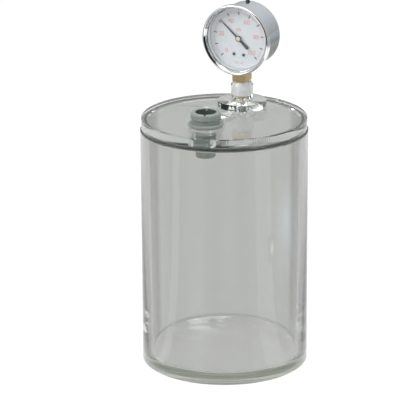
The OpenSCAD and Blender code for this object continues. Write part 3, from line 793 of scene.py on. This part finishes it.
def floor_card(name, azimuths, radii, tint, glow, lift=CARD_LIFT, fade=None, ring=None):
    """Flat card just over the floor that only reflections show, a sector between two radii.

    glow is its strength. Its colour wanders between tint and white, unless one of these is given.
    fade is (azimuth, distance, reach): tint at that spot, falling to plain white at reach from it.
    ring is (near, far): plain white up to near, turning to tint at far.
    """
    start, end = azimuths
    steps = max(4, round(abs(end - start) / CARD_FACET))
    z = FLOOR_Z + lift
    verts = []
    for i in range(steps + 1):
        a = math.radians(start + (end - start) * i / steps)
        for r in radii:
            verts.append((r * math.sin(a), -r * math.cos(a), z))
    faces = [(2 * i, 2 * i + 1, 2 * i + 3, 2 * i + 2) for i in range(steps)]
    m = new_mat(name)
    e = add(m, "ShaderNodeEmission")
    e.inputs["Strength"].default_value = glow
    if fade:
        a, far, reach = math.radians(fade[0]), fade[1], fade[2]
        spot = (-far * math.sin(a) / reach, far * math.cos(a) / reach, -z / reach)
        ball = add(m, "ShaderNodeTexGradient", gradient_type="QUADRATIC_SPHERE")
        wire(m, coords(m, grey(1 / reach), spot), ball.inputs["Vector"])
        tone = blend(m, ball.outputs["Fac"], grey(1.0 / glow), tint)
    elif ring:
        near, far = ring
        ball = add(m, "ShaderNodeTexGradient", gradient_type="SPHERICAL")
        wire(m, coords(m, grey(1 / far), (0, 0, -z / far)), ball.inputs["Vector"])
        tone = ramp(m, ball.outputs["Fac"], [(0.0, tint), (1 - near / far, grey(1.0))])
    else:
        tone = mottle(m, noise(m, coords(m), 3.0), tint, grey(1.0))
    wire(m, tone, e.inputs["Color"])
    out_of(m, e.outputs["Emission"])
    stage_mesh(name, verts, faces, m, ONLY_REFLECTED)


def make_world():
    """Soft light that shows as plain white to the eye, in glass and in metal."""
    w = bpy.data.worlds.new("studio")
    w.use_nodes = True
    SCENE.world = w
    t = w.node_tree
    t.nodes.clear()
    soft = t.nodes.new("ShaderNodeBackground")
    soft.inputs["Color"].default_value = (0.97, 0.98, 1.0, 1)
    soft.inputs["Strength"].default_value = 0.55
    white = t.nodes.new("ShaderNodeBackground")
    white.inputs["Color"].default_value = (1, 1, 1, 1)
    white.inputs["Strength"].default_value = 1.0
    mix = t.nodes.new("ShaderNodeMixShader")
    t.links.new(seen_rays(t), mix.inputs["Fac"])
    t.links.new(soft.outputs["Background"], mix.inputs[1])
    t.links.new(white.outputs["Background"], mix.inputs[2])
    o = t.nodes.new("ShaderNodeOutputWorld")
    t.links.new(mix.outputs["Shader"], o.inputs["Surface"])


def area_light(name, where, size, watts, colour=(1, 1, 1)):
    """Lamp aimed at the middle of the object."""
    d = bpy.data.lights.new(name, "AREA")
    d.shape = "RECTANGLE"
    d.size, d.size_y = size
    d.energy = watts
    d.color = colour
    ob = bpy.data.objects.new(name, d)
    SCENE.collection.objects.link(ob)
    ob.location = where
    middle = Vector((0, 0, CAD_BOX[1][2] / 2))
    ob.rotation_euler = (middle - Vector(where)).to_track_quat("-Z", "Y").to_euler()


def make_camera():
    """Long lens at the photograph's viewing angle."""
    azimuth, pitch, roll = math.radians(25.43), math.radians(18.22), math.radians(0.34)
    away, height, turn = 2.4, 0.949, math.radians(0.56)
    cam = bpy.data.cameras.new("camera")
    cam.lens = 236.9
    cam.sensor_width = 36.0
    cam.clip_start = 0.05
    ob = bpy.data.objects.new("camera", cam)
    SCENE.collection.objects.link(ob)
    place = Matrix.Translation((away * math.sin(azimuth), -away * math.cos(azimuth), height))
    look = Matrix.Rotation(azimuth + turn, 4, "Z") @ Matrix.Rotation(math.pi / 2 - pitch, 4, "X")
    ob.matrix_world = place @ look @ Matrix.Rotation(-roll, 4, "Z")
    SCENE.camera = ob


make_floor()
make_world()
studio_wall("wall_glass", ALL_ROUND, 3.0, WALL_FOOT,
            [(0.0, grey(0.50)), (0.8, grey(0.80)), (2.4, grey(1.0))], ONLY_THROUGH)
studio_wall("wall_metal", ALL_ROUND, 3.0, WALL_FOOT,
            [(0.0, grey(0.40)), (1.0, grey(0.52)), (1.7, grey(0.62)), (4.0, grey(0.8))], ONLY_REFLECTED)
studio_wall("dark_card", (14, 98), 1.0, WALL_FOOT,
            [(0.0, grey(0.01)), (1.9, grey(0.02))], ONLY_REFLECTED)
floor_card("table_far", ALL_ROUND, (0.83, 3.0), (0.44, 0.46, 0.48), 1.0, ring=(0.83, 1.0))
studio_wall("soft_box", (-75, 10), 2.5, 1.0,
            [(0.0, grey(0.8)), (1.4, grey(1.0)), (3.2, grey(1.0))], ONLY_REFLECTED)
floor_card("streak_left", (-46, -35), (0.10, 0.83), grey(0.95), 1.9)
floor_card("streak_right", (66, 88), (0.10, 0.83), grey(0.95), 1.8)
floor_card("panel_blue", (88, 140), (0.20, 0.83), (0.66, 0.82, 1.0), 3.4, fade=(111, 0.52, 0.25))
floor_card("glint", (82, 95), (0.40, 0.49), grey(1.0), 6.0, lift=1.4 * MM, fade=(88.4, 0.445, 0.035))
area_light("key", (-1.6, -1.6, 1.9), (1.4, 1.4), 32)
area_light("fill", (2.2, -0.6, 1.2), (0.8, 1.6), 14, (0.93, 0.96, 1.0))
area_light("top", (0.2, 0.4, 2.4), (1.6, 1.6), 22)
make_camera()
SCENE.view_settings.view_transform = "Standard"
SCENE.cycles.max_bounces = 32
SCENE.cycles.glossy_bounces = 24
SCENE.cycles.transmission_bounces = 24
SCENE.cycles.transparent_max_bounces = 16
